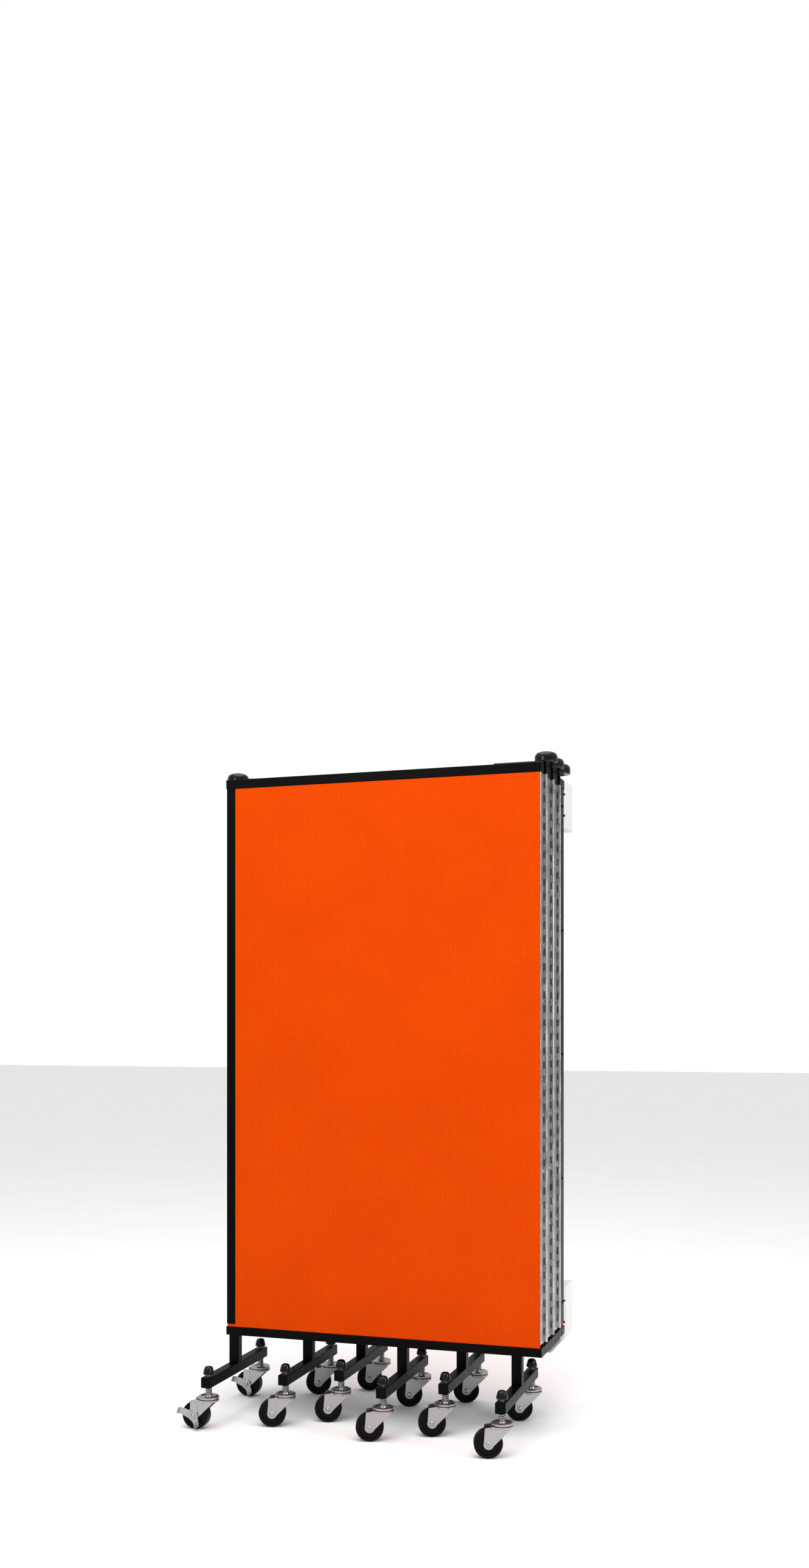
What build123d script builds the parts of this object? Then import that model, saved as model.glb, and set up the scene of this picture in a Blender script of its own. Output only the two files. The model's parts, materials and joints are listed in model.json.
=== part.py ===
from build123d import *
import os
from math import asin, atan2, cos, degrees, sin

# Seven-panel wheeled folding partition, folded into a stack against its wall brackets.
# Millimetres.  +X runs along the panels to the right, +Y runs back towards the wall, +Z is up.
# Below, X starts at the panels' middle and Y at the front panel's face.  main() then moves it all
# so that the origin is on the floor under the middle of the whole footprint.

# ---- driving dimensions: panels -------------------------------------------------------------
PANELS = 7
PANEL_W = 920.0            # fabric-covered width
PANEL_T = 42.0             # thickness of rails
PITCH = 45.4               # panel to panel when folded
FRAME_BOTTOM = 226.0       # underside of the bottom rail
FRAME_TOP = 1826.0         # top of the top rail
TOP_RAIL_H = 26.0
BOTTOM_RAIL_H = 24.0
RAIL_OVERRUN = 3.0         # each rail end stands past the panel's end
RAIL_WALL = 1.6
RAIL_R = 2.0
STILE_W = 18.0
STILE_D = 38.0
END_STEP = 1.0             # a hinged end of the board stops short, so that the leaf lies on the stile
BOARD_INSET = 1.0          # the board's faces stand this far behind the rails' faces
TRIM_W = 25.0              # edge trim on a free end, seen from the front
TRIM_T = 1.2
TRIM_LAP = 0.9             # the trim stands this far proud of the fabric
TRIM_R = 1.0
TRIM_FOOT = 8.0            # the trim stops this far above the bottom rail

# ---- driving dimensions: hinges -------------------------------------------------------------
PIN_OUT = 6.0              # hinge pin's centre, past the panel's end
PIN_D = 3.2
KNUCKLE_D = 8.4
KNUCKLE_PITCH = 38.0       # one knuckle of each leaf
KNUCKLE_GAP = 0.5
KNUCKLE_ROOM = 1.0         # added to the diameter where the other leaf is cut back for a knuckle
WEB_IN = 0.5               # a knuckle's web reaches this far into its leaf
WEB_END = 1.0              # and stops this far short of the pin's centre
LEAF_T = 1.5
LEAF_W = 40.5
HINGE_FOOT = 10.5          # hinge starts this far above the bottom rail
NOTCH_W = 3.4              # the leaf is cut back beside the other leaf's knuckles
FIT_GAP = 0.05             # radial running clearance
SCREW_PITCH = 152.0
SCREW_D = 7.6
SCREW_H = 1.1

# ---- driving dimensions: caps over the hinge pins -------------------------------------------
CAP_D = 62.0
CUP_H = 12.6
CUP_R = 4.0
GROOVE_H = 1.6
GROOVE_IN = 1.2
SLEEVE_D = 5.8             # the cap's sleeve, down round the pin to the top knuckle
DOME_H = 17.4
DOME_SIDE = [(0.6, 4.0), (3.6, 10.0), (9.0, 13.4)]   # in from the rim, up from the groove
STRAP_L = 134.5
STRAP_W = 34.0
STRAP_T = 3.0
STRAP_R = 3.0

# ---- driving dimensions: T-legs -------------------------------------------------------------
POST = 28.6
POST_R = 2.5
BAR = 28.6
BAR_R = 2.0
BAR_L = 394.0
BAR_TOP = 145.4
TUBE_WALL = 2.0
STEM_OFF = 178.0           # stem's distance from the leg's post
STEM_D = 11.0
ACORN_H = 23.0
ACORN_BASE = 151.5
ACORN_SIDE = [(12.0, -1.0), (15.5, 3.0), (11.5, 17.0)]   # radius, height above the base
ACORN_CROWN = 8.0          # the stem ends this far below the acorn's top
# panel and place along it of each leg; a lone leg near each middle keeps the T-bars from meeting
LEGS = [(1, -443.0), (1, 392.0), (2, 52.0), (3, -251.0), (4, 200.0), (5, -119.0)]
LOCKING_LEG = 1

# ---- driving dimensions: casters ------------------------------------------------------------
WHEEL_D = 76.0
WHEEL_W = 32.0
HUB_W = 34.0
HUB_D = 18.0
WHEEL_RECESS = 2.5         # the wheel's web stands back from the tyre's side
WHEEL_LAND = 9.5           # the tyre's flat side starts this far in from the tread
TREAD_IN = 5.0
TREAD_R = 6.0
AXLE_D = 8.0
TRAIL = 36.0
TRAIL_AZ = 197.7           # way the free casters trail in the folded stack
LOCK_AZ = 181.0
DISH_TOP = 95.0
DISH_LOW = 84.0
DISH_R = 6.0
# the raceway dish from its underside up to the stem's collar: radius, height
DISH_SIDE = [(26.0, 84.0), (28.5, 91.0), (25.0, 93.0), (21.0, 93.0), (18.0, 90.5), (10.5, 90.5), (9.0, 95.0)]
FORK_T = 2.6
FORK_IN = 36.0             # clear width between the fork's legs
FORK_W_AXLE = 25.0
FORK_PAD_T = 1.0           # the flat strip down each leg stands proud of the drawn web
CROWN_D = 58.0
CROWN_RIM = 5.6
CROWN_REACH = 24.0
CROWN_R = 2.0
CHEEK_BACK = -20.0         # the cheeks' rear edge, behind the stem
CHEEK_BACK_Z = 76.0
CHEEK_THROAT = (-3.0, 60.0)
CHEEK_DROP = 3.0           # the cheeks' front corner is this far below the crown's top
RIVET_EDGE = 1.0
RIVET_D = 14.0
RIVET_H = 4.2
FORK_TOP = 83.6            # the crown's top, just under the raceway dish
SPRING_D = 18.4
SPRING_WIRE = 2.3
SPRING_TURNS = 3.5

# ---- driving dimensions: brake lever --------------------------------------------------------
BRAKE_T = 2.0
BRAKE_HUB_D = 25.0
BRAKE_GAP = 0.4
BRAKE_ARMS = [(42.0, 17.0, 20.0), (-13.0, -27.0, 17.0)]   # wing's place from the axle, its width
BRAKE_WING_OUT = 15.0

# ---- driving dimensions: wall brackets ------------------------------------------------------
BRACKET_H = 150.0
BRACKET_T = 3.0
BRACKET_X = 466.5
BRACKET_FLANGE = 46.0
WALL_Y = 412.0
BRACKET_SLANT = 10.0
WALL_HOLE_D = 6.5
WALL_HOLE_PITCH = 76.0
DRIVER_HOLE_D = 12.0
SIDE_HOLE_D = 5.0
SIDE_SINK_D = 8.6
SIDE_SINK_DEPTH = 1.8
SIDE_HOLE_PITCH = 62.0
TONGUE_W = 38.0
TONGUE_FRONT = 118.0
TONGUE_Z = 213.0
TONGUE_R = 4.0
PAD_IN = 4.0               # the pad under the rear panel stands in from the tongue's edges
SLANT_DRAW = 0.6           # the inner slant is shorter by this share of the wall
TOP_BRACKET_Z = 1690.0
TOP_BRACKET_H = 136.0

# ---- worked out -----------------------------------------------------------------------------
CAP_BASE = FRAME_TOP + STRAP_T
HALF_W = PANEL_W / 2
PIN_X = HALF_W + PIN_OUT
GAP = PITCH - PANEL_T
BACK_Y = (PANELS - 1) * PITCH + PANEL_T
BOARD_LOW = FRAME_BOTTOM + BOTTOM_RAIL_H
BOARD_HIGH = FRAME_TOP - TOP_RAIL_H
LEAF_X = HALF_W - END_STEP
HINGE_LOW = BOARD_LOW + HINGE_FOOT
KNUCKLES = int((BOARD_HIGH - HINGE_LOW) / (KNUCKLE_PITCH / 2))
HINGE_HIGH = HINGE_LOW + KNUCKLES * KNUCKLE_PITCH / 2
AXLE_Z = WHEEL_D / 2
BAR_LOW = BAR_TOP - BAR
LEG_Y = [(n - 1) * PITCH + PANEL_T / 2 for n, x in LEGS]


def block(x0, x1, y0, y1, z0, z1):
    """A box between two corners."""
    body = Box(x1 - x0, y1 - y0, z1 - z0, align=(Align.MIN, Align.MIN, Align.MIN))
    return Pos(x0, y0, z0) * body


def rod(x, y, z0, z1, d):
    """An upright cylinder."""
    return Pos(x, y, z0) * Cylinder(d / 2, z1 - z0, align=(Align.CENTER, Align.CENTER, Align.MIN))


def panel_y(n):
    """Front face of panel n."""
    return (n - 1) * PITCH


def hinge_side(n):
    """Side of the hinge between panels n and n + 1: +1 at the right, -1 at the left."""
    return 1 if n % 2 == 1 else -1


def hinge_y(n):
    """Pin of the hinge between panels n and n + 1."""
    return n * PITCH - GAP / 2


# ---- panels ---------------------------------------------------------------------------------
def rail(n, z0, z1):
    """A box-section rail, closed at its ends, with rounded lengthwise corners."""
    y = panel_y(n)
    x = HALF_W + RAIL_OVERRUN
    outer = block(-x, x, y, y + PANEL_T, z0, z1)
    outer = fillet(outer.edges().filter_by(Axis.X), RAIL_R)
    w = RAIL_WALL
    inner = block(-x + w, x - w, y + w, y + PANEL_T - w, z0 + w, z1 - w)
    return outer - inner


def stile(n, side):
    """An upright tube hidden in the panel's end, which takes the hinge screws."""
    mid = panel_y(n) + PANEL_T / 2
    x0 = LEAF_X - STILE_W
    d = STILE_D / 2
    w = RAIL_WALL
    outer = block(x0, x0 + STILE_W, mid - d, mid + d, BOARD_LOW, BOARD_HIGH)
    inner = block(x0 + w, x0 + STILE_W - w, mid - d + w, mid + d - w, BOARD_LOW, BOARD_HIGH)
    tube = outer - inner
    return tube if side > 0 else mirror(tube, about=Plane.YZ)


def free_sides(n):
    """Ends of panel n that no hinge takes."""
    used = []
    if n > 1:
        used.append(hinge_side(n - 1))
    if n < PANELS:
        used.append(hinge_side(n))
    return [side for side in (1, -1) if side not in used]


def edge_trim(n, side):
    """A U-shaped black trim over a free end."""
    y = panel_y(n)
    y0 = y + BOARD_INSET - TRIM_LAP
    y1 = y + PANEL_T - BOARD_INSET + TRIM_LAP
    x1 = HALF_W + TRIM_T
    x0 = HALF_W - TRIM_W
    z0 = BOARD_LOW + TRIM_FOOT
    z1 = BOARD_HIGH
    outer = block(x0, x1, y0, y1, z0, z1)
    outer = fillet(outer.edges().filter_by(Axis.Z).sort_by(Axis.X)[-2:], TRIM_R)
    inner = block(x0 - 1, HALF_W, y + BOARD_INSET, y + PANEL_T - BOARD_INSET, z0 - 1, z1 + 1)
    trim = outer - inner
    return trim if side > 0 else mirror(trim, about=Plane.YZ)


def frame(n):
    """Rails, stiles and edge trims of panel n."""
    parts = [rail(n, FRAME_BOTTOM, BOARD_LOW), rail(n, BOARD_HIGH, FRAME_TOP)]
    parts += [stile(n, side) for side in (1, -1)]
    parts += [edge_trim(n, side) for side in free_sides(n)]
    return parts


def board(n):
    """Fabric-covered board of panel n, which wraps round both stiles."""
    y = panel_y(n)
    free = free_sides(n)
    left = HALF_W if -1 in free else LEAF_X
    right = HALF_W if 1 in free else LEAF_X
    body = block(-left, right, y + BOARD_INSET, y + PANEL_T - BOARD_INSET, BOARD_LOW, BOARD_HIGH)
    mid = y + PANEL_T / 2
    d = STILE_D / 2
    x1 = LEAF_X
    for x0 in (x1 - STILE_W, -x1):
        body -= block(x0, x0 + STILE_W, mid - d, mid + d, BOARD_LOW - 1, BOARD_HIGH + 1)
    return [body]


# ---- hinges ---------------------------------------------------------------------------------
def knuckle_spans(odd):
    """Heights of one leaf's knuckles: the two leaves take turns."""
    half = KNUCKLE_PITCH / 2
    spans = []
    for i in range(odd, KNUCKLES, 2):
        z = HINGE_LOW + i * half
        spans.append((z + KNUCKLE_GAP / 2, z + half - KNUCKLE_GAP / 2))
    return spans


def leaf(n, hinge):
    """Leaf of one hinge on panel n: a plate on the panel's end, and its knuckles.

    The front panel's leaf carries the pin, and the rear panel's knuckles turn on it.
    """
    side = hinge_side(hinge)
    front = n == hinge
    py = hinge_y(hinge)
    inward = -1 if front else 1
    y_near = py + inward * GAP / 2
    y_far = y_near + inward * LEAF_W
    x0 = LEAF_X
    body = block(x0, x0 + LEAF_T, min(y_far, y_near), max(y_far, y_near), HINGE_LOW, HINGE_HIGH)
    y_edge = py + inward * (GAP / 2 + WEB_IN)
    added = []
    for z0, z1 in knuckle_spans(0 if front else 1):
        added.append(rod(PIN_X, py, z0, z1, KNUCKLE_D))
        added.append(block(x0, PIN_X - WEB_END, min(py, y_edge), max(py, y_edge), z0, z1))
    bore = PIN_D if front else PIN_D + 2 * FIT_GAP
    cut = [rod(PIN_X, py, HINGE_LOW - 1, HINGE_HIGH + 1, bore)]
    for z0, z1 in knuckle_spans(1 if front else 0):
        z0 -= KNUCKLE_GAP / 2
        z1 += KNUCKLE_GAP / 2
        cut.append(rod(PIN_X, py, z0, z1, KNUCKLE_D + KNUCKLE_ROOM))
        notch = sorted((y_near - inward, y_near + inward * NOTCH_W))
        cut.append(block(x0 - 1, x0 + LEAF_T + 1, *notch, z0, z1))
    body = body.fuse(*added).cut(*cut)
    parts = [body]
    if front:
        parts.append(rod(PIN_X, py, HINGE_LOW, CAP_BASE, PIN_D))
    parts += leaf_screws(n, inward, py)
    if side < 0:
        parts = [mirror(part, about=Plane.YZ) for part in parts]
    return parts


def leaf_screws(n, inward, py):
    """Pan-head screws down a leaf, built at the right-hand end."""
    y = py + inward * (GAP / 2 + LEAF_W / 2)
    count = int((HINGE_HIGH - HINGE_LOW) / SCREW_PITCH) + 1
    start = (HINGE_LOW + HINGE_HIGH - (count - 1) * SCREW_PITCH) / 2
    heads = []
    for i in range(count):
        head = Pos(LEAF_X + LEAF_T, y, start + i * SCREW_PITCH) * Rot(0, 90, 0)
        head *= Cylinder(SCREW_D / 2, SCREW_H, align=(Align.CENTER, Align.CENTER, Align.MIN))
        heads.append(head)
    return heads


def hinge_leaves(n):
    """All leaves that panel n carries."""
    parts = []
    if n > 1:
        parts += leaf(n, n - 1)
    if n < PANELS:
        parts += leaf(n, n)
    return parts


# ---- caps -----------------------------------------------------------------------------------
def crown_arc(x, z, top):
    """Arc of a profile that is to be revolved, from (x, z) up to the axis, level there."""
    rise = top - z
    radius = (x ** 2 + rise ** 2) / (2 * rise)
    mid = asin(x / radius) / 2
    return ThreePointArc((x, z), (radius * sin(mid), top - radius * (1 - cos(mid))), (0, top))


def cap(hinge):
    """Cup and dome over a hinge pin, and the strap on the front panel that holds them."""
    side = hinge_side(hinge)
    py = hinge_y(hinge)
    r = CAP_D / 2
    z0 = CAP_BASE
    z1 = z0 + CUP_H
    z2 = z1 + GROOVE_H
    z3 = z2 + DOME_H
    low, middle, high = [(r - inward, z2 + up) for inward, up in DOME_SIDE]
    with BuildSketch(Plane.XZ) as half:
        with BuildLine():
            Polyline((0, z0), (r - CUP_R, z0))
            RadiusArc((r - CUP_R, z0), (r, z0 + CUP_R), -CUP_R)
            Polyline((r, z0 + CUP_R), (r, z1), (r - GROOVE_IN, z1), (r - GROOVE_IN, z2), (r, z2), low)
            ThreePointArc(low, middle, high)
            crown_arc(*high, z3)
            Line((0, z3), (0, z0))
        make_face()
    body = revolve(half.sketch, axis=Axis.Z)
    sleeve_low = HINGE_HIGH + KNUCKLE_GAP
    body += rod(0, 0, sleeve_low, z0 + 1, SLEEVE_D)
    body -= rod(0, 0, sleeve_low - 1, z0, PIN_D + 2 * FIT_GAP)
    body = Pos(PIN_X, py, 0) * body
    y0 = panel_y(hinge) + (PANEL_T - STRAP_W) / 2
    x1 = HALF_W + RAIL_OVERRUN
    strap = block(x1 - STRAP_L, x1, y0, y0 + STRAP_W, FRAME_TOP, FRAME_TOP + STRAP_T)
    strap = fillet(strap.edges().filter_by(Axis.Z), STRAP_R)
    parts = [body, strap]
    if side < 0:
        parts = [mirror(part, about=Plane.YZ) for part in parts]
    return parts


# ---- T-legs ---------------------------------------------------------------------------------
def leg(index):
    """T-leg: post, cross bar, and the stem sleeves' acorn caps."""
    n, x = LEGS[index]
    y = LEG_Y[index]
    h = POST / 2
    w = TUBE_WALL
    post = block(x - h, x + h, y - h, y + h, BAR_TOP, FRAME_BOTTOM)
    post = fillet(post.edges().filter_by(Axis.Z), POST_R)
    post -= block(x - h + w, x + h - w, y - h + w, y + h - w, BAR_TOP + w, FRAME_BOTTOM - w)
    b = BAR / 2
    bar = block(x - b, x + b, y - BAR_L / 2, y + BAR_L / 2, BAR_LOW, BAR_TOP)
    bar = fillet(bar.edges().filter_by(Axis.Y), BAR_R)
    bar -= block(x - b + w, x + b - w, y - BAR_L / 2 + w, y + BAR_L / 2 - w, BAR_LOW + w, BAR_TOP - w)
    parts = [post]
    for off in (-STEM_OFF, STEM_OFF):
        bar -= rod(x, y + off, BAR_LOW - 1, BAR_TOP + 1, STEM_D + 2 * FIT_GAP)
        parts += [Pos(x, y + off, 0) * piece for piece in suspension()]
    return parts + [bar]


def suspension():
    """Sprung stem of one caster: stem with its raceway dish, coil spring and acorn cap."""
    stem_r = STEM_D / 2
    top = ACORN_BASE + ACORN_H
    stem_top = top - ACORN_CROWN
    rim = DISH_SIDE[1:]
    with BuildSketch(Plane.XZ) as half:
        with BuildLine():
            Polyline((0, DISH_LOW), DISH_SIDE[0])
            RadiusArc(DISH_SIDE[0], DISH_SIDE[1], -DISH_R)
            Polyline(*rim, (stem_r, DISH_TOP), (stem_r, stem_top), (0, stem_top), (0, DISH_LOW))
        make_face()
    stem = revolve(half.sketch, axis=Axis.Z)
    side = [(r, ACORN_BASE + up) for r, up in ACORN_SIDE]
    with BuildSketch(Plane.XZ) as half:
        with BuildLine():
            Polyline((stem_r, ACORN_BASE), *side)
            crown_arc(*side[-1], top)
            Polyline((0, top), (0, stem_top), (stem_r, stem_top), (stem_r, ACORN_BASE))
        make_face()
    acorn = revolve(half.sketch, axis=Axis.Z)
    height = BAR_LOW - DISH_TOP - SPRING_WIRE
    radius = (SPRING_D - SPRING_WIRE) / 2
    path = Helix(pitch=height / SPRING_TURNS, height=height, radius=radius)
    start = Plane(origin=path @ 0, z_dir=path % 0)
    spring = sweep(start * Circle(SPRING_WIRE / 2), path=path)
    spring = Pos(0, 0, DISH_TOP + SPRING_WIRE / 2) * spring
    return [stem, acorn, spring]


# ---- casters: local +X trails, local +Y is the outer side, the stem is at the origin ---------
def cross_rod(x, z, y0, y1, d):
    """A cylinder along Y."""
    turned = Pos(x, y0, z) * Rot(-90, 0, 0)
    return turned * Cylinder(d / 2, y1 - y0, align=(Align.CENTER, Align.CENTER, Align.MIN))


def fork_cheek(side):
    """One leg of the fork: a drawn web that slopes up to the crown, and the flat strip down to the axle."""
    r = FORK_W_AXLE / 2
    high = FORK_TOP - CHEEK_DROP
    with BuildSketch(Plane.XZ) as web:
        with BuildLine():
            Polyline((CHEEK_BACK, FORK_TOP), (CROWN_REACH, FORK_TOP), (TRAIL + r - 3, high))
            Line((TRAIL + r - 3, high), (TRAIL + r, AXLE_Z + 4))
            ThreePointArc((TRAIL + r, AXLE_Z + 4), (TRAIL + 2, AXLE_Z - r), (TRAIL - r, AXLE_Z - 4))
            Polyline((TRAIL - r, AXLE_Z - 4), CHEEK_THROAT, (CHEEK_BACK, CHEEK_BACK_Z), (CHEEK_BACK, FORK_TOP))
        make_face()
    with BuildSketch(Plane.XZ) as strip:
        with BuildLine():
            Polyline((TRAIL - r + 1, AXLE_Z), (TRAIL - r + 1, high - 3), (TRAIL + r - 4, high - 3))
            Line((TRAIL + r - 4, high - 3), (TRAIL + r - 1, AXLE_Z))
            ThreePointArc((TRAIL + r - 1, AXLE_Z), (TRAIL, AXLE_Z - r + 1), (TRAIL - r + 1, AXLE_Z))
        make_face()
    inner = FORK_IN / 2
    cheek = Pos(0, inner, 0) * extrude(web.sketch, amount=FORK_T, dir=(0, 1, 0))
    cheek += Pos(0, inner + FORK_T, 0) * extrude(strip.sketch, amount=FORK_PAD_T, dir=(0, 1, 0))
    return cheek if side > 0 else mirror(cheek, about=Plane.XZ)


def rivet_head(y, side):
    """Domed head on one end of the axle."""
    r = RIVET_D / 2
    with BuildSketch(Plane.XZ) as half:
        with BuildLine():
            Polyline((0, 0), (r, 0), (r, RIVET_EDGE))
            crown_arc(r, RIVET_EDGE, RIVET_H)
            Line((0, RIVET_H), (0, 0))
        make_face()
    head = revolve(half.sketch, axis=Axis.Z)
    return Pos(TRAIL, y, AXLE_Z) * Rot(-90 * side, 0, 0) * head


def fork(locking):
    """Swivelling fork with its cupped crown and riveted axle."""
    outer = FORK_IN / 2 + FORK_T
    face = outer + FORK_PAD_T
    low = FORK_TOP - FORK_T
    crown = rod(0, 0, FORK_TOP - CROWN_RIM, FORK_TOP, CROWN_D)
    crown = fillet(crown.edges().filter_by(GeomType.CIRCLE).sort_by(Axis.Z)[0], CROWN_R)
    crown -= rod(0, 0, 0, low, CROWN_D - 2 * FORK_T)
    crown += block(0, CROWN_REACH, -outer, outer, low, FORK_TOP)
    body = crown + fork_cheek(1) + fork_cheek(-1)
    reach = face + (BRAKE_GAP * 2 + BRAKE_T if locking else 0.0)
    body += cross_rod(TRAIL, AXLE_Z, -face, reach, AXLE_D)
    body += rivet_head(-face, -1)
    return body + rivet_head(reach, 1)


def wheel():
    """Wheel on its plain bearing, with a hub boss and a stepped side."""
    r = WHEEL_D / 2
    w = WHEEL_W / 2
    h = HUB_W / 2
    bore = AXLE_D / 2 + FIT_GAP
    web = w - WHEEL_RECESS
    land = r - WHEEL_LAND
    side = [(bore, h), (HUB_D / 2, h), (HUB_D / 2 + 1, web), (land - 1, web), (land, w), (r - TREAD_IN, w)]
    other = [(x, -y) for x, y in side]
    with BuildSketch(Plane.XY) as half:
        with BuildLine():
            Polyline(*other)
            RadiusArc(other[-1], (r, TREAD_R - w), -TREAD_R)
            Line((r, TREAD_R - w), (r, w - TREAD_R))
            RadiusArc((r, w - TREAD_R), side[-1], -TREAD_R)
            Polyline(*side)
            Line(side[0], other[0])
        make_face()
    return Pos(TRAIL, 0, AXLE_Z) * revolve(half.sketch, axis=Axis.Y)


def brake():
    """Side toggle lever: a pressed plate on the axle with two outward wings."""
    y0 = FORK_IN / 2 + FORK_T + FORK_PAD_T + BRAKE_GAP
    body = cross_rod(TRAIL, AXLE_Z, y0, y0 + BRAKE_T, BRAKE_HUB_D)
    for dx, dz, width in BRAKE_ARMS:
        length = (dx ** 2 + dz ** 2) ** 0.5
        turn = Pos(TRAIL, 0, AXLE_Z) * Rot(0, -degrees(atan2(dz, dx)), 0)
        body += turn * block(0, length, y0, y0 + BRAKE_T, -width / 2, width / 2)
        body += turn * block(length - BRAKE_T, length, y0, y0 + BRAKE_WING_OUT, -width / 2, width / 2)
    return body - cross_rod(TRAIL, AXLE_Z, y0 - 1, y0 + BRAKE_T + 1, AXLE_D + 2 * FIT_GAP)


def at_stem(piece, index, end):
    """Places a caster piece under one end of a T-leg's bar: end is -1 in front, +1 behind."""
    n, x = LEGS[index]
    turn = LOCK_AZ if index + 1 == LOCKING_LEG else TRAIL_AZ
    return Pos(x, LEG_Y[index] + end * STEM_OFF, 0) * Rot(0, 0, turn) * piece


# ---- wall brackets --------------------------------------------------------------------------
def bracket_plan(wall):
    """Plan outline of a wall bracket, drawn in by the thickness of its wall."""
    s = BRACKET_SLANT
    x0 = BRACKET_X - BRACKET_FLANGE
    x1 = BRACKET_X - wall
    y0 = BACK_Y + wall
    y1 = WALL_Y - wall
    if wall:
        x0 -= 1.0
        s -= wall * SLANT_DRAW
    points = [(x0, y0), (x1 - s, y0), (x1, y0 + s), (x1, y1), (x0, y1)]
    return make_face(Polyline(*points, close=True))


def bracket(z0, height):
    """Pressed white box between the rear panel and the wall, open on its hidden side."""
    t = BRACKET_T
    body = Pos(0, 0, z0) * extrude(bracket_plan(0), amount=height)
    body -= Pos(0, 0, z0 + t) * extrude(bracket_plan(t), amount=height - 2 * t)
    mid = z0 + height / 2
    hole_x = BRACKET_X - BRACKET_FLANGE / 2
    for dz in (-WALL_HOLE_PITCH / 2, WALL_HOLE_PITCH / 2):
        body -= Pos(hole_x, WALL_Y, mid + dz) * Rot(90, 0, 0) * Cylinder(WALL_HOLE_D / 2, 4 * t)
        # the way in for the driver is a larger hole through the front flange
        body -= Pos(hole_x, BACK_Y, mid + dz) * Rot(90, 0, 0) * Cylinder(DRIVER_HOLE_D / 2, 4 * t)
    slant_x = BRACKET_X - BRACKET_SLANT / 2
    slant_y = BACK_Y + BRACKET_SLANT / 2
    for dz in (-SIDE_HOLE_PITCH / 2, SIDE_HOLE_PITCH / 2):
        place = Pos(slant_x, slant_y, mid + dz) * Rot(0, 0, 45) * Rot(90, 0, 0)
        body -= place * Cylinder(SIDE_HOLE_D / 2, 4 * t)
        align = (Align.CENTER, Align.CENTER, Align.MAX)
        body -= place * Cone(SIDE_HOLE_D / 2, SIDE_SINK_D / 2, SIDE_SINK_DEPTH, align=align)
    return body


def wall_brackets():
    """Upper and lower bracket, the lower with a tongue under the folded stack."""
    lower = bracket(TONGUE_Z, BRACKET_H)
    x1 = BRACKET_X
    x0 = x1 - TONGUE_W
    tongue = block(x0, x1, TONGUE_FRONT, BACK_Y + 2 * BRACKET_T, TONGUE_Z, TONGUE_Z + BRACKET_T)
    tongue = fillet(tongue.edges().filter_by(Axis.Z).sort_by(Axis.Y)[:2], TONGUE_R)
    lower += tongue
    y0 = panel_y(PANELS)
    y1 = y0 + PANEL_T
    pad = block(x0 + PAD_IN, x1 - 2 * PAD_IN, y0 + PAD_IN, y1 - PAD_IN, TONGUE_Z + BRACKET_T, FRAME_BOTTOM)
    upper = bracket(TOP_BRACKET_Z, TOP_BRACKET_H)
    return [lower, pad, upper]


# ---- nodes ----------------------------------------------------------------------------------
def nodes():
    """Every node's name and its solids."""
    made = {"wall_brackets": wall_brackets()}
    for n in range(1, PANELS + 1):
        made[f"panel_{n}_frame"] = frame(n)
        made[f"panel_{n}_board"] = board(n)
        made[f"panel_{n}_hinge_leaves"] = hinge_leaves(n)
    for hinge in range(1, PANELS):
        made[f"hinge_{hinge}_cap"] = cap(hinge)
    tyre = wheel()
    for index in range(len(LEGS)):
        name = f"leg_{index + 1}"
        locking = index + 1 == LOCKING_LEG
        forked = fork(locking)
        made[name] = leg(index)
        for end, where in ((-1, "front"), (1, "rear")):
            made[f"{name}_{where}_fork"] = [at_stem(forked, index, end)]
            made[f"{name}_{where}_wheel"] = [at_stem(tyre, index, end)]
            if locking:
                made[f"{name}_{where}_brake"] = [at_stem(brake(), index, end)]
    return made


def main():
    """Writes one STEP for each node, with the origin under the middle of the footprint."""
    os.makedirs("parts", exist_ok=True)
    made = nodes()
    whole = Compound(children=[solid for parts in made.values() for part in parts for solid in part.solids()])
    box = whole.bounding_box(optimal=True)
    x = (box.min.X + box.max.X) / 2
    y = (box.min.Y + box.max.Y) / 2
    print("origin from the panels' middle and the front face:", round(x, 4), round(y, 4))
    for name, parts in made.items():
        solids = [Pos(-x, -y, 0) * solid for part in parts for solid in part.solids()]
        shape = solids[0] if len(solids) == 1 else Compound(children=solids)
        export_step(shape, f"parts/{name}.step")


main()
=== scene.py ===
import json
import math

import bmesh
import bpy
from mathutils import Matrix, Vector


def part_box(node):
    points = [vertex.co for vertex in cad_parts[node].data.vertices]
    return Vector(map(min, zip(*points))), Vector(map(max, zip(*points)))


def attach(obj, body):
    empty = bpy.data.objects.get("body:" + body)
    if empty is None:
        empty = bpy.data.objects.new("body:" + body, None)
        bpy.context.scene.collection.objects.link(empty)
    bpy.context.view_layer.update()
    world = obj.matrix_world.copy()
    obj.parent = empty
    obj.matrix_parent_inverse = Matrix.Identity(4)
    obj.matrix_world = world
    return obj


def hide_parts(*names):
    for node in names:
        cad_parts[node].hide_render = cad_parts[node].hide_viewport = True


# A folding partition of seven fabric panels, folded into a stack between its two wall brackets.
# Metres.  +X runs along the panels to the right, +Y runs back towards the wall, +Z is up.

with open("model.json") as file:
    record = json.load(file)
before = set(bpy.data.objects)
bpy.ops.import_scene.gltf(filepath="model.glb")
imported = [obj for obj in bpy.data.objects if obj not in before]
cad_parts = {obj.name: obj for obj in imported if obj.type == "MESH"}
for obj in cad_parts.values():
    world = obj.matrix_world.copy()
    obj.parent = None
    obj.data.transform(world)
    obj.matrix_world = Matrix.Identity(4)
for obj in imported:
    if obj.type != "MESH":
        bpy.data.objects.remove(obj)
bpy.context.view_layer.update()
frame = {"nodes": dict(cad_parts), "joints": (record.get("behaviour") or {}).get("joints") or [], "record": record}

PANELS = 7
LEGS = 6
ENDS = ("front", "rear")

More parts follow.
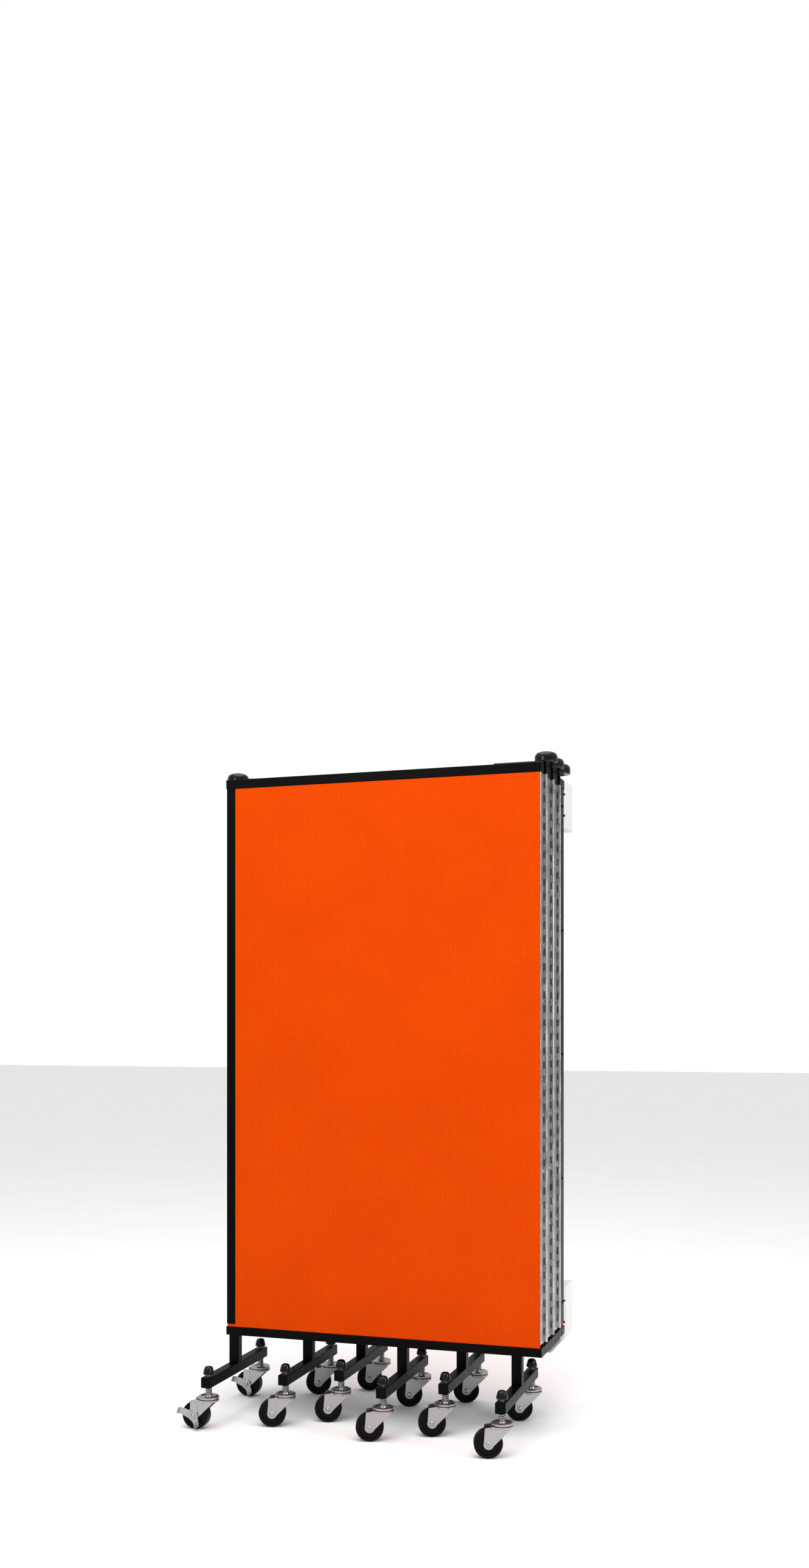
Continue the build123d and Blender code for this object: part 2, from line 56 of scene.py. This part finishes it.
node_of = frame["nodes"]
slot_of = {row["node"]: row["material_slot"] for row in frame["record"]["subparts"]}
joint_of = {joint["name"]: joint for joint in frame["joints"]}
body_of = {}
for body_name, members in frame["record"]["behaviour"]["bodies"].items():
    for member in members:
        body_of[member] = body_name

panel_low, panel_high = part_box("panel_1_frame")
board_low, board_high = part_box("panel_1_board")
MIDDLE_X = (panel_low.x + panel_high.x) / 2
FRONT_Y = panel_low.y
PANEL_THICK = panel_high.y - panel_low.y


# ---- camera ---------------------------------------------------------------------------------
def make_camera():
    """A level camera to the right of the stack's middle, raised in the frame by its shift."""
    data = bpy.data.cameras.new("camera")
    camera = bpy.data.objects.new("camera", data)
    bpy.context.scene.collection.objects.link(camera)
    camera.location = (MIDDLE_X + 1.2385, FRONT_Y - 3.640, 1.118)
    camera.rotation_euler = (math.radians(90), 0, math.radians(17.7))
    data.sensor_width = 36
    data.lens = 31.71
    data.shift_y = 0.154
    data.clip_end = 60
    bpy.context.scene.camera = camera


# ---- materials ------------------------------------------------------------------------------
def linear(hex_colour):
    """An sRGB hex colour as linear RGBA."""
    channels = [int(hex_colour[i:i + 2], 16) / 255 for i in (1, 3, 5)]
    return [c / 12.92 if c <= 0.04045 else ((c + 0.055) / 1.055) ** 2.4 for c in channels] + [1.0]


def add(tree, kind, settings=None, ramp=None, **inputs):
    """Adds a node. Inputs are named by socket (Base_Color) or by number (i0), as a value or a link.

    A ramp is a list of (place, hex colour) stops. The result is the node.
    """
    node = tree.nodes.new(kind)
    for key, value in (settings or {}).items():
        setattr(node, key, value)
    if ramp:
        elements = node.color_ramp.elements
        while len(elements) < len(ramp):
            elements.new(1.0)
        for element, (place, colour) in zip(elements, ramp):
            element.position = place
            element.color = linear(colour)
    for key, value in inputs.items():
        numbered = key[0] == "i" and key[1:].isdigit()
        socket = node.inputs[int(key[1:]) if numbered else key.replace("_", " ")]
        if isinstance(value, bpy.types.NodeSocket):
            tree.links.new(value, socket)
        else:
            socket.default_value = value
    return node


def start_material(name):
    """A new material with nothing in it: its tree, and the Object coordinates that it reads."""
    material = bpy.data.materials.new(name)
    material.use_nodes = True
    tree = material.node_tree
    tree.nodes.clear()
    return material, tree, add(tree, "ShaderNodeTexCoord").outputs["Object"]


def finish_material(tree, shader):
    """Sends the shader to the surface."""
    add(tree, "ShaderNodeOutputMaterial", Surface=shader.outputs["BSDF"])


RIB_PITCH = 0.0078
STITCH_PITCH = 0.0072


def woven_fabric():
    """Taut polyester panel cloth, machine woven: flat ribs 7.8 mm apart with a gap every 7.2 mm, coloured darker
    as painted shade.

    The real yarn is about 0.4 mm, too fine to show, so a 1.6 mm fibre mottle stands for it. The eye
    gets an even, matt, saturated orange, with faint upright lines of stitches darkened by painted shade.
    """
    material, tree, place = start_material("woven polyester panel fabric")
    axis = add(tree, "ShaderNodeSeparateXYZ", Vector=place)
    across = add(tree, "ShaderNodeMath", {"operation": "ADD"}, i0=axis.outputs["X"], i1=axis.outputs["Y"])
    column = add(tree, "ShaderNodeMath", {"operation": "MULTIPLY"}, i0=across.outputs[0],
                 i1=2 * math.pi / RIB_PITCH)
    row = add(tree, "ShaderNodeMath", {"operation": "MULTIPLY"}, i0=axis.outputs["Z"],
              i1=2 * math.pi / STITCH_PITCH)
    column_wave = add(tree, "ShaderNodeMath", {"operation": "COSINE"}, i0=column.outputs[0])
    row_wave = add(tree, "ShaderNodeMath", {"operation": "COSINE"}, i0=row.outputs[0])
    smooth = {"interpolation_type": "SMOOTHSTEP"}
    in_column = add(tree, "ShaderNodeMapRange", smooth, i0=column_wave.outputs[0], i1=0.35, i2=0.95)
    in_row = add(tree, "ShaderNodeMapRange", smooth, i0=row_wave.outputs[0], i1=-0.4, i2=0.5)
    stitch = add(tree, "ShaderNodeMath", {"operation": "MULTIPLY"}, i0=in_column.outputs[0],
                 i1=in_row.outputs[0])
    cloud = add(tree, "ShaderNodeTexNoise", Vector=place, Scale=5.0, Detail=2.0)
    fibre = add(tree, "ShaderNodeTexNoise", Vector=place, Scale=620.0, Detail=2.0, Roughness=0.6)
    base = add(tree, "ShaderNodeValToRGB", None, [(0.3, "#D34100"), (0.7, "#D94500")], i0=cloud.outputs[0])
    # painted shade: the dented stitch gaps are mixed toward a deeper orange (#B92E00)
    stitch_shade_amount = add(tree, "ShaderNodeMapRange", i0=stitch.outputs[0], i3=0.0, i4=0.5)
    stitch_shaded = add(tree, "ShaderNodeMix", {"data_type": "RGBA"}, i0=stitch_shade_amount.outputs[0], i6=base.outputs[0],
               i7=linear("#B92E00"))
    mottle = add(tree, "ShaderNodeMapRange", i0=fibre.outputs[0], i1=0.25, i2=0.75, i3=0.88, i4=1.1)
    yarn = add(tree, "ShaderNodeVectorMath", {"operation": "SCALE"}, i0=stitch_shaded.outputs[2],
               Scale=mottle.outputs[0])
    rib = add(tree, "ShaderNodeMath", {"operation": "MULTIPLY"}, i0=column_wave.outputs[0], i1=-0.35)
    raised = add(tree, "ShaderNodeMath", {"operation": "SUBTRACT"}, i0=rib.outputs[0], i1=stitch.outputs[0])
    relief = add(tree, "ShaderNodeMath", {"operation": "ADD"}, i0=raised.outputs[0], i1=fibre.outputs[0])
    bump = add(tree, "ShaderNodeBump", Strength=0.6, Distance=0.0006, Height=relief.outputs[0])
    shader = add(tree, "ShaderNodeBsdfPrincipled", Base_Color=yarn.outputs[0], Roughness=0.92,
                 Specular_IOR_Level=0.05, Normal=bump.outputs[0])
    finish_material(tree, shader)
    return material


def powder_coat(name, dark, light, roughness, specular, grain):
    """Powder sprayed on steel and baked: an even satin coat with a fine orange-peel grain, in metres.

    The corners of the grain catch small glints, and the sheen varies a little along a rail.
    """
    material, tree, place = start_material(name)
    cloud = add(tree, "ShaderNodeTexNoise", Vector=place, Scale=7.0, Detail=3.0)
    peel = add(tree, "ShaderNodeTexNoise", Vector=place, Scale=1 / grain, Detail=2.0)
    handled = add(tree, "ShaderNodeTexNoise", Vector=place, Scale=45.0, Detail=5.0, Roughness=0.65)
    colour = add(tree, "ShaderNodeValToRGB", None, [(0.35, dark), (0.7, light)], i0=cloud.outputs[0])
    sheen = add(tree, "ShaderNodeMapRange", i0=handled.outputs[0], i3=roughness - 0.08, i4=roughness + 0.1)
    bump = add(tree, "ShaderNodeBump", Strength=0.35, Distance=0.0002, Height=peel.outputs[0])
    shader = add(tree, "ShaderNodeBsdfPrincipled", Base_Color=colour.outputs[0], Roughness=sheen.outputs[0],
                 Specular_IOR_Level=specular, Normal=bump.outputs[0])
    finish_material(tree, shader)
    return material


def bright_metal(name, dark, light, low, high, streak, stretch, grit):
    """Plated or rolled steel: streaks of the rolling, in metres, over a faintly pitted surface.

    The eye gets satin metal whose gloss shifts a little with the streaks.
    """
    material, tree, place = start_material(name)
    along = add(tree, "ShaderNodeMapping", Vector=place, Scale=stretch)
    rolled = add(tree, "ShaderNodeTexNoise", Vector=along.outputs[0], Scale=1 / streak, Detail=4.0,
                 Roughness=0.6)
    pits = add(tree, "ShaderNodeTexNoise", Vector=place, Scale=1 / grit, Detail=2.0)
    colour = add(tree, "ShaderNodeValToRGB", None, [(0.32, dark), (0.7, light)], i0=rolled.outputs[0])
    gloss = add(tree, "ShaderNodeMapRange", i0=rolled.outputs[0], i1=0.25, i2=0.8, i3=low, i4=high)
    height = add(tree, "ShaderNodeMath", {"operation": "ADD"}, i0=rolled.outputs[0], i1=pits.outputs[0])
    bump = add(tree, "ShaderNodeBump", Strength=0.18, Distance=0.0001, Height=height.outputs[0])
    shader = add(tree, "ShaderNodeBsdfPrincipled", Base_Color=colour.outputs[0], Metallic=1.0,
                 Roughness=gloss.outputs[0], Normal=bump.outputs[0])
    finish_material(tree, shader)
    return material


def moulded(name, dark, light, low, high, specular, grain):
    """Injection-moulded plastic or rubber: faint flow marks, and the fine grain of its mould."""
    material, tree, place = start_material(name)
    flow = add(tree, "ShaderNodeTexNoise", Vector=place, Scale=35.0, Detail=4.0, Roughness=0.6)
    spark = add(tree, "ShaderNodeTexNoise", Vector=place, Scale=1 / grain, Detail=2.0)
    colour = add(tree, "ShaderNodeValToRGB", None, [(0.3, dark), (0.75, light)], i0=flow.outputs[0])
    gloss = add(tree, "ShaderNodeMapRange", i0=flow.outputs[0], i1=0.25, i2=0.75, i3=low, i4=high)
    bump = add(tree, "ShaderNodeBump", Strength=0.2, Distance=0.0002, Height=spark.outputs[0])
    shader = add(tree, "ShaderNodeBsdfPrincipled", Base_Color=colour.outputs[0], Roughness=gloss.outputs[0],
                 Specular_IOR_Level=specular, Normal=bump.outputs[0])
    finish_material(tree, shader)
    return material


FABRIC = woven_fabric()
COAT = powder_coat("black powder-coated steel", "#030304", "#060607", 0.34, 0.05, 0.0011)
WHITE = powder_coat("white powder-coated steel", "#DEDEDC", "#E6E6E4", 0.45, 0.4, 0.0012)
STRIP = bright_metal("rolled steel hinge strip", "#8C8C8D", "#D2D2D2", 0.22, 0.45, 0.006, (1.0, 1.0, 0.12),
                     0.0013)
ZINC = bright_metal("bright zinc-plated steel", "#A2A2A4", "#ACACAE", 0.28, 0.34, 0.004, (1.0, 1.0, 1.0),
                    0.0012)
CAP = moulded("black moulded nylon", "#030303", "#060606", 0.1, 0.2, 0.32, 0.0012)
TREAD = moulded("black thermoplastic rubber", "#040404", "#080808", 0.34, 0.48, 0.1, 0.0011)
FINISH = {
    "orange_fabric": FABRIC, "black_powder_coat": COAT, "white_steel": WHITE, "bright_steel": STRIP,
    "zinc_plated_steel": ZINC, "black_plastic": CAP, "black_rubber": TREAD,
}


# ---- studio ---------------------------------------------------------------------------------
def lamp(name, place, size, power, aim):
    """A soft square light aimed at a point."""
    data = bpy.data.lights.new(name, "AREA")
    data.shape = "SQUARE"
    data.size = size
    data.energy = power
    light = bpy.data.objects.new(name, data)
    bpy.context.scene.collection.objects.link(light)
    light.location = place
    light.rotation_euler = (Vector(aim) - Vector(place)).to_track_quat("-Z", "Y").to_euler()


def make_studio():
    """Pale floor, pale surroundings and soft lights."""
    bpy.ops.object.select_all(action="DESELECT")
    bpy.ops.mesh.primitive_plane_add(size=60, location=(0, 0, 0))
    floor = bpy.context.object
    floor.name = "studio_floor"
    material, tree, place = start_material("pale studio floor")
    grain = add(tree, "ShaderNodeTexNoise", Vector=place, Scale=3.0)
    tone = add(tree, "ShaderNodeValToRGB", None, [(0.3, "#F7F7F7"), (0.7, "#FAFAFA")], i0=grain.outputs[0])
    finish_material(tree, add(tree, "ShaderNodeBsdfPrincipled", Base_Color=tone.outputs[0], Roughness=0.95,
                              Specular_IOR_Level=0.1))
    floor.data.materials.append(material)
    make_sky()
    middle = (MIDDLE_X, FRONT_Y, 0.9)
    lamp("overhead", (MIDDLE_X + 0.3, FRONT_Y - 0.9, 4.2), 3.6, 120, (MIDDLE_X + 0.2, FRONT_Y + 0.2, 0))
    lamp("key", (MIDDLE_X - 1.4, FRONT_Y - 4.2, 2.6), 1.8, 30, middle)
    lamp("side", (MIDDLE_X + 3.6, FRONT_Y - 0.9, 1.5), 0.9, 26, middle)
    bpy.context.scene.view_settings.view_transform = "Standard"


def make_sky():
    """White to the camera. To the object, bright overhead and dim at the horizon, so metal has contrast."""
    world = bpy.data.worlds.new("studio")
    world.use_nodes = True
    tree = world.node_tree
    tree.nodes.clear()
    way = add(tree, "ShaderNodeTexCoord").outputs["Generated"]
    height = add(tree, "ShaderNodeSeparateXYZ", Vector=way).outputs["Z"]
    rise = add(tree, "ShaderNodeMapRange", i0=height, i1=-0.05, i2=0.75, i3=0.34, i4=0.95)
    seen = add(tree, "ShaderNodeLightPath").outputs["Is Camera Ray"]
    strength = add(tree, "ShaderNodeMix", {"data_type": "FLOAT"}, i0=seen, i2=rise.outputs[0], i3=1.0)
    sky = add(tree, "ShaderNodeBackground", Color=(1, 1, 1, 1), Strength=strength.outputs[0])
    add(tree, "ShaderNodeOutputWorld", Surface=sky.outputs[0])
    bpy.context.scene.world = world


# ---- pieces ---------------------------------------------------------------------------------
def begin():
    """Deselects everything, as an operator acts on all that is selected."""
    if bpy.context.object and bpy.context.object.mode != "OBJECT":
        bpy.ops.object.mode_set(mode="OBJECT")
    bpy.ops.object.select_all(action="DESELECT")


def settle(piece, name, material, angle=30):
    """Names a piece, puts its place in its mesh, gives it its material and shades it."""
    if piece.mode != "OBJECT":
        bpy.ops.object.mode_set(mode="OBJECT")
    begin()
    piece.select_set(True)
    bpy.context.view_layer.objects.active = piece
    bpy.ops.object.transform_apply(location=True, rotation=True, scale=True)
    bpy.ops.object.shade_smooth_by_angle(angle=math.radians(angle))
    piece.name = name
    piece.data.name = name
    piece.data.materials.clear()
    piece.data.materials.append(material)
    return piece


def give(piece, body):
    """Says which body a piece moves with."""
    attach(piece, body)


def paint_cad_nodes():
    """Gives each CAD node the material of its slot."""
    for name, node in node_of.items():
        node.data.materials.clear()
        node.data.materials.append(FINISH[slot_of[name]])


def fabric_board(number):
    """A panel's board in its cloth: a slab with softly rounded edges."""
    low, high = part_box(f"panel_{number}_board")
    size = high - low
    begin()
    bpy.ops.mesh.primitive_cube_add(size=1, location=(low + high) / 2, scale=size)
    piece = bpy.context.object
    bpy.ops.object.transform_apply(location=True, rotation=False, scale=True)
    bpy.ops.object.mode_set(mode="EDIT")
    bpy.ops.mesh.select_all(action="SELECT")
    bpy.ops.mesh.bevel(offset=0.0022, segments=4, affect="EDGES")
    bpy.ops.object.mode_set(mode="OBJECT")
    piece = settle(piece, f"panel_{number}_fabric", FABRIC, 40)
    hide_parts(f"panel_{number}_board")
    give(piece, f"panel_{number}")


def loose_parts(node_name):
    """The separate solids of a CAD node, as merged copies."""
    begin()
    piece = node_of[node_name].copy()
    piece.data = piece.data.copy()
    piece.parent = None
    bpy.context.scene.collection.objects.link(piece)
    piece.select_set(True)
    bpy.context.view_layer.objects.active = piece
    bpy.ops.object.mode_set(mode="EDIT")
    bpy.ops.mesh.select_all(action="SELECT")
    bpy.ops.mesh.remove_doubles(threshold=0.000002)
    bpy.ops.mesh.customdata_custom_splitnormals_clear()
    bpy.ops.mesh.separate(type="LOOSE")
    bpy.ops.object.mode_set(mode="OBJECT")
    return list(bpy.context.selected_objects)


def span(piece):
    """Lowest and highest corner of a piece's own mesh."""
    points = [vertex.co for vertex in piece.data.vertices]
    return (Vector([min(point[i] for point in points) for i in range(3)]),
            Vector([max(point[i] for point in points) for i in range(3)]))


def join(pieces, name, material, angle=30):
    """Makes one piece of several."""
    begin()
    for piece in pieces:
        piece.select_set(True)
    bpy.context.view_layer.objects.active = pieces[0]
    if len(pieces) > 1:
        bpy.ops.object.join()
    return settle(bpy.context.view_layer.objects.active, name, material, angle)


def weld_bead(x, y, z, length):
    """A rippled fillet weld along X: a small ring drawn out in steps that swell and shrink."""
    begin()
    steps = 9
    step = length / (2 * steps)
    bpy.ops.mesh.primitive_circle_add(vertices=8, radius=0.0011, fill_type="NGON",
                                      location=(x - length / 2, y, z), rotation=(0, math.radians(90), 0))
    bead = bpy.context.object
    bpy.ops.object.mode_set(mode="EDIT")
    bpy.ops.mesh.select_all(action="SELECT")
    for index in range(steps):
        for size in (1.45, 1 / 1.45):
            bpy.ops.mesh.extrude_region_move(TRANSFORM_OT_translate={"value": (step, 0, 0)})
            bpy.ops.transform.resize(value=(size, size, size))
    bpy.ops.mesh.select_all(action="SELECT")
    bpy.ops.mesh.normals_make_consistent(inside=False)
    bpy.ops.object.mode_set(mode="OBJECT")
    return bead


def end_plug(x, y, z, width, outward):
    """A moulded plug in one end of a tube: a domed square lid standing 1.5 mm proud."""
    begin()
    bpy.ops.mesh.primitive_cube_add(size=1, location=(x, y, z), scale=(width, 0.003, width))
    plug = bpy.context.object
    bpy.ops.object.transform_apply(location=True, rotation=False, scale=True)
    bpy.ops.object.mode_set(mode="EDIT")
    bpy.ops.mesh.select_all(action="SELECT")
    bpy.ops.mesh.bevel(offset=0.0012, segments=3, affect="EDGES")
    bpy.ops.mesh.select_all(action="DESELECT")
    mesh = bmesh.from_edit_mesh(plug.data)
    for face in mesh.faces:
        face.select = face.normal.y * outward > 0.99
    bmesh.update_edit_mesh(plug.data)
    bpy.ops.mesh.inset(thickness=0.003)
    bpy.ops.transform.translate(value=(0, -0.0006 * outward, 0))
    bpy.ops.object.mode_set(mode="OBJECT")
    return plug


def turned(x, y, outline, vertices=32):
    """A turned shape: a disc drawn up in steps through an outline of (radius, height)."""
    begin()
    radius, z = outline[0]
    bpy.ops.mesh.primitive_circle_add(vertices=vertices, radius=radius, fill_type="NGON", location=(x, y, z))
    piece = bpy.context.object
    bpy.ops.object.mode_set(mode="EDIT")
    bpy.ops.mesh.select_all(action="SELECT")
    for (radius, z), (next_radius, next_z) in zip(outline, outline[1:]):
        size = next_radius / radius
        bpy.ops.mesh.extrude_region_move(TRANSFORM_OT_translate={"value": (0, 0, next_z - z)})
        bpy.ops.transform.resize(value=(size, size, 1), center_override=(x, y, next_z))
    bpy.ops.mesh.select_all(action="SELECT")
    bpy.ops.mesh.normals_make_consistent(inside=False)
    bpy.ops.object.mode_set(mode="OBJECT")
    return piece


# an acorn cap from its mouth up: a rolled lip, a skirt that draws in, a shoulder and a domed crown
ACORN = [(0.0062, -0.0232), (0.0118, -0.0240), (0.0148, -0.0230), (0.0155, -0.0206), (0.0153, -0.0184),
         (0.0138, -0.0124), (0.0124, -0.0074), (0.0118, -0.0055), (0.0108, -0.0037), (0.0086, -0.0018),
         (0.0050, -0.0005), (0.0012, 0.0)]


def acorn_cap(stem):
    """Cuts a stem off inside its acorn cap, and makes the cap."""
    low, high = span(stem)
    x = (low.x + high.x) / 2
    y = (low.y + high.y) / 2
    begin()
    stem.select_set(True)
    bpy.context.view_layer.objects.active = stem
    bpy.ops.object.mode_set(mode="EDIT")
    bpy.ops.mesh.select_all(action="SELECT")
    bpy.ops.mesh.bisect(plane_co=(x, y, high.z + ACORN[0][1] - 0.0002), plane_no=(0, 0, 1), use_fill=True,
                        clear_outer=True)
    bpy.ops.object.mode_set(mode="OBJECT")
    return turned(x, y, [(radius, high.z + drop) for radius, drop in ACORN])


def thicken(spring):
    """Draws a spring's wire out by half a millimetre all round."""
    begin()
    spring.select_set(True)
    bpy.context.view_layer.objects.active = spring
    wire = spring.modifiers.new("wire", "DISPLACE")
    wire.strength = 0.0005
    wire.mid_level = 0.0
    bpy.ops.object.modifier_apply(modifier="wire")


def leg_pieces(number):
    """A T-leg with its welds and end plugs, its plated stems, its springs and its acorn caps."""
    name = f"leg_{number}"
    tube, stems, springs, acorns = [], [], [], []
    for part in loose_parts(name):
        low, high = span(part)
        if high.y - low.y > 0.2:
            bar_low, bar_high = low, high
            tube.append(part)
        elif high.z > 0.2:
            post_low, post_high = low, high
            tube.append(part)
        elif high.z > 0.14:
            acorns.append(acorn_cap(part))
            stems.append(part)
        else:
            thicken(part)
            springs.append(part)
    x = (post_low.x + post_high.x) / 2
    width = post_high.x - post_low.x
    for y in (post_low.y, post_high.y):
        tube.append(weld_bead(x, y, bar_high.z, width * 0.94))
        tube.append(weld_bead(x, y, post_high.z - 0.0002, width * 0.94))
    middle_z = (bar_low.z + bar_high.z) / 2
    for y, outward in ((bar_low.y, -1), (bar_high.y, 1)):
        tube.append(end_plug(x, y, middle_z, width * 0.93, outward))
    body = body_of[name]
    tee = join(tube, f"{name}_tee", COAT)
    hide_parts(name)
    give(tee, body)
    give(join(stems, f"{name}_stems", ZINC), body)
    give(join(springs, f"{name}_springs", ZINC, 60), body)
    give(join(acorns, f"{name}_acorn_caps", CAP), body)


# a pan head from its seat up, and the bar that cuts each stroke of its cross
PAN_HEAD = [(0.0038, 0.0), (0.0038, 0.0006), (0.0035, 0.0013), (0.0026, 0.0018), (0.0013, 0.00205),
            (0.0004, 0.0021)]
CROSS_BAR = (0.0054, 0.0014, 0.003)


def screw_head():
    """A pan head with a cross recess, standing on z = 0."""
    head = turned(0, 0, PAN_HEAD, 16)
    for turn in (0, 90):
        begin()
        bpy.ops.mesh.primitive_cube_add(size=1, location=(0, 0, PAN_HEAD[-1][1]),
                                        rotation=(0, 0, math.radians(turn)))
        slot = bpy.context.object
        slot.scale = CROSS_BAR
        begin()
        head.select_set(True)
        bpy.context.view_layer.objects.active = head
        cut = head.modifiers.new("slot", "BOOLEAN")
        cut.operation = "DIFFERENCE"
        cut.object = slot
        bpy.ops.object.modifier_apply(modifier="slot")
        bpy.data.objects.remove(slot)
    return head


def screws(pattern, places, name, material):
    """Copies of a screw head as one piece, each at its place and facing a heading in degrees from +X."""
    heads = []
    for place, heading in places:
        head = pattern.copy()
        head.data = pattern.data.copy()
        bpy.context.scene.collection.objects.link(head)
        head.location = place
        head.rotation_euler = (math.radians(17) * len(heads), math.radians(90), math.radians(heading))
        heads.append(head)
    bpy.context.view_layer.update()
    return join(heads, name, material, 40)


def hinge_pieces(number, pattern):
    """A panel's hinge leaves with their knuckles and pins, and the screws that hold them."""
    node = f"panel_{number}_hinge_leaves"
    strips, places = [], []
    for part in loose_parts(node):
        low, high = span(part)
        if high.z - low.z < 0.01:
            side = 1 if low.x > MIDDLE_X else -1
            face = low.x if side > 0 else high.x
            places.append(((face, (low.y + high.y) / 2, (low.z + high.z) / 2), 90 - 90 * side))
            bpy.data.objects.remove(part)
        else:
            strips.append(part)
    leaves = join(strips, f"panel_{number}_hinge_strip", STRIP)
    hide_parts(node)
    give(leaves, f"panel_{number}")
    give(screws(pattern, places, f"panel_{number}_hinge_screws", ZINC), f"panel_{number}")


TRIM_T = 0.0012
TRIM_SCREWS = 5
TRIM_FOOT = 0.07         # the lowest screw above the board's foot
TRIM_HEAD = 0.05         # the highest screw below the board's top


def trim_screws(number, side, pattern):
    """Black screws down a free end's trim."""
    low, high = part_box(f"panel_{number}_board")
    face = (high.x if side > 0 else low.x) + side * TRIM_T
    y = (low.y + high.y) / 2
    pitch = (high.z - low.z - (TRIM_FOOT + TRIM_HEAD)) / (TRIM_SCREWS - 1)
    heights = [low.z + TRIM_FOOT + step * pitch for step in range(TRIM_SCREWS)]
    places = [((face, y, z), 90 - 90 * side) for z in heights]
    piece = screws(pattern, places, f"panel_{number}_trim_screws", COAT)
    give(piece, f"panel_{number}")


def bracket_screws(pattern):
    """Dark screws in the slanted edges of the wall brackets, which face the front right."""
    places = []
    for mount in frame["record"]["mounts"]:
        if mount["name"].startswith("side_hole"):
            places.append((mount["pos_m"], -45))
    piece = screws(pattern, places, "wall_bracket_screws", COAT)
    give(piece, f"panel_{PANELS}")


# the brake lever, in the wheel's own frame: +X the way it trails, +Y outward
LEVER_IN = 0.022         # its inner face
LEVER_T = 0.002
LEVER_HUB = [(0.0140, 0.0), (0.0144, 0.0008), (0.0140, 0.0018), (0.0125, 0.0024), (0.0090, 0.0021)]
LEVER_BUTTON = [(0.0034, 0.001), (0.0034, 0.0026), (0.0024, 0.0036), (0.0008, 0.0039)]
# each wing's turn up from +X in degrees, its straight length and width, and its bends (on, out, width)
LEVER_WINGS = (
    (22, 0.020, 0.022, [(0.009, 0.0004, 0.019), (0.007, 0.0018, 0.018), (0.005, 0.0040, 0.019),
                        (0.003, 0.0044, 0.018), (0.001, 0.0019, 0.013)]),
    (-116, 0.0115, 0.019, [(0.007, 0.0004, 0.017), (0.005, 0.0018, 0.016), (0.004, 0.0040, 0.017),
                           (0.002, 0.0044, 0.016), (0.0005, 0.0019, 0.012)]),
)


def lever_arm(turn, first, width, steps):
    """A pressed wing of the lever: a strip from the hub, bent outward in steps."""
    begin()
    middle = LEVER_IN + LEVER_T / 2
    bpy.ops.mesh.primitive_plane_add(size=1, location=(first / 2, middle, 0), rotation=(math.radians(90), 0, 0))
    arm = bpy.context.object
    arm.scale = (first, width, 1)
    bpy.ops.object.transform_apply(location=True, rotation=True, scale=True)
    bpy.ops.object.mode_set(mode="EDIT")
    bpy.ops.mesh.select_mode(type="EDGE")
    bpy.ops.mesh.select_all(action="DESELECT")
    mesh = bmesh.from_edit_mesh(arm.data)
    for edge in mesh.edges:
        edge.select = all(vertex.co.x > first - 0.0001 for vertex in edge.verts)
    bmesh.update_edit_mesh(arm.data)
    wide = width
    for on, out, next_width in steps:
        bpy.ops.mesh.extrude_edges_move(TRANSFORM_OT_translate={"value": (on, out, 0)})
        bpy.ops.transform.resize(value=(1, 1, next_width / wide), center_override=(0, 0, 0))
        wide = next_width
    bpy.ops.mesh.select_mode(type="VERT")
    bpy.ops.object.mode_set(mode="OBJECT")
    wall = arm.modifiers.new("wall", "SOLIDIFY")
    wall.thickness = LEVER_T
    wall.offset = 0
    edge = arm.modifiers.new("edge", "BEVEL")
    edge.width = 0.0005
    edge.segments = 2
    smooth = arm.modifiers.new("smooth", "SUBSURF")
    smooth.levels = 2
    smooth.render_levels = 2
    for modifier in ("wall", "edge", "smooth"):
        bpy.ops.object.modifier_apply(modifier=modifier)
    arm.rotation_euler = (0, -math.radians(turn), 0)
    bpy.ops.object.transform_apply(location=True, rotation=True, scale=True)
    return arm


def lever_disc(x, z, outline, vertices):
    """A turned boss on the lever's outer face."""
    disc = turned(0, 0, outline, vertices)
    disc.rotation_euler = (math.radians(-90), 0, 0)
    disc.location = (x, LEVER_IN, z)
    begin()
    disc.select_set(True)
    bpy.context.view_layer.objects.active = disc
    bpy.ops.object.transform_apply(location=True, rotation=True, scale=True)
    return disc


def brake_lever(end):
    """The locking caster's toggle: a pressed hub with a button, and two wings bent outward."""
    joint = joint_of[f"leg_1_{end}_brake_toggle"]
    outward = Vector(joint["axis"])
    parts = [lever_disc(0, 0, LEVER_HUB, 32), lever_disc(0.0155, 0.004, LEVER_BUTTON, 16)]
    parts += [lever_arm(*wing) for wing in LEVER_WINGS]
    lever = join(parts, f"leg_1_{end}_brake_lever", ZINC, 50)
    lever.rotation_euler = (0, 0, math.atan2(-outward.x, outward.y))
    lever.location = joint["pos_m"]
    settle(lever, f"leg_1_{end}_brake_lever", ZINC, 50)
    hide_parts(f"leg_1_{end}_brake")
    give(lever, f"leg_1_{end}_brake")


make_camera()
make_studio()
paint_cad_nodes()
for panel in range(1, PANELS + 1):
    fabric_board(panel)
for leg in range(1, LEGS + 1):
    leg_pieces(leg)
for end in ENDS:
    brake_lever(end)
pan_head = screw_head()
for panel in range(1, PANELS + 1):
    hinge_pieces(panel, pan_head)
trim_screws(1, -1, pan_head)
trim_screws(PANELS, 1, pan_head)
bracket_screws(pan_head)
bpy.data.objects.remove(pan_head)
